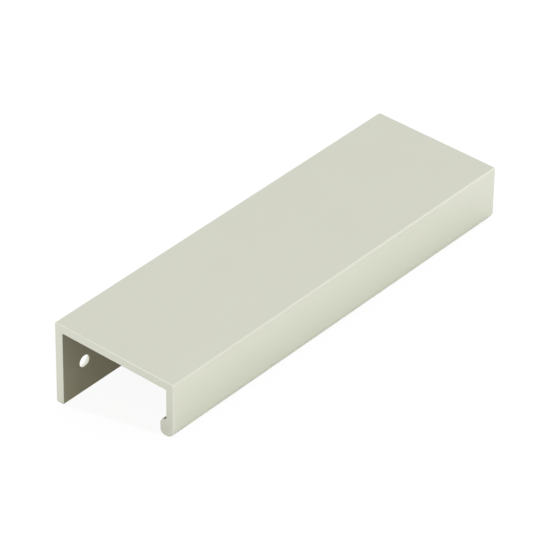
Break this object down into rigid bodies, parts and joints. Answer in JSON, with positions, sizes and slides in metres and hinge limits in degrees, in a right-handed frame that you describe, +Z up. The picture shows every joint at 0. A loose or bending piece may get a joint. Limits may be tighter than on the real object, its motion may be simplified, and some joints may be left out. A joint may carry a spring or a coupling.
{
  "type": "handleless finger pull profile",
  "caption": "Short length of extruded aluminium C-profile that screws behind a door or drawer front, with a hanging, beaded lip for fingers to pull.",
  "frame": {"origin": "on the floor, under the middle of the profile's box as it lies unheld", "axes": "+X along the extruded length, -Y towards the lip in front, +Z up; the profile leans forward about 13 degrees from its use position, on the foot of its back leg and the nose of its lip"},
  "size_m": [0.128, 0.0444, 0.0247],
  "materials": {
    "anodised_aluminium": "satin anodised in a pale stainless tone"
  },
  "bodies": {
    "root": {"finger_pull_profile": "anodised_aluminium"}
  },
  "joints": []
}
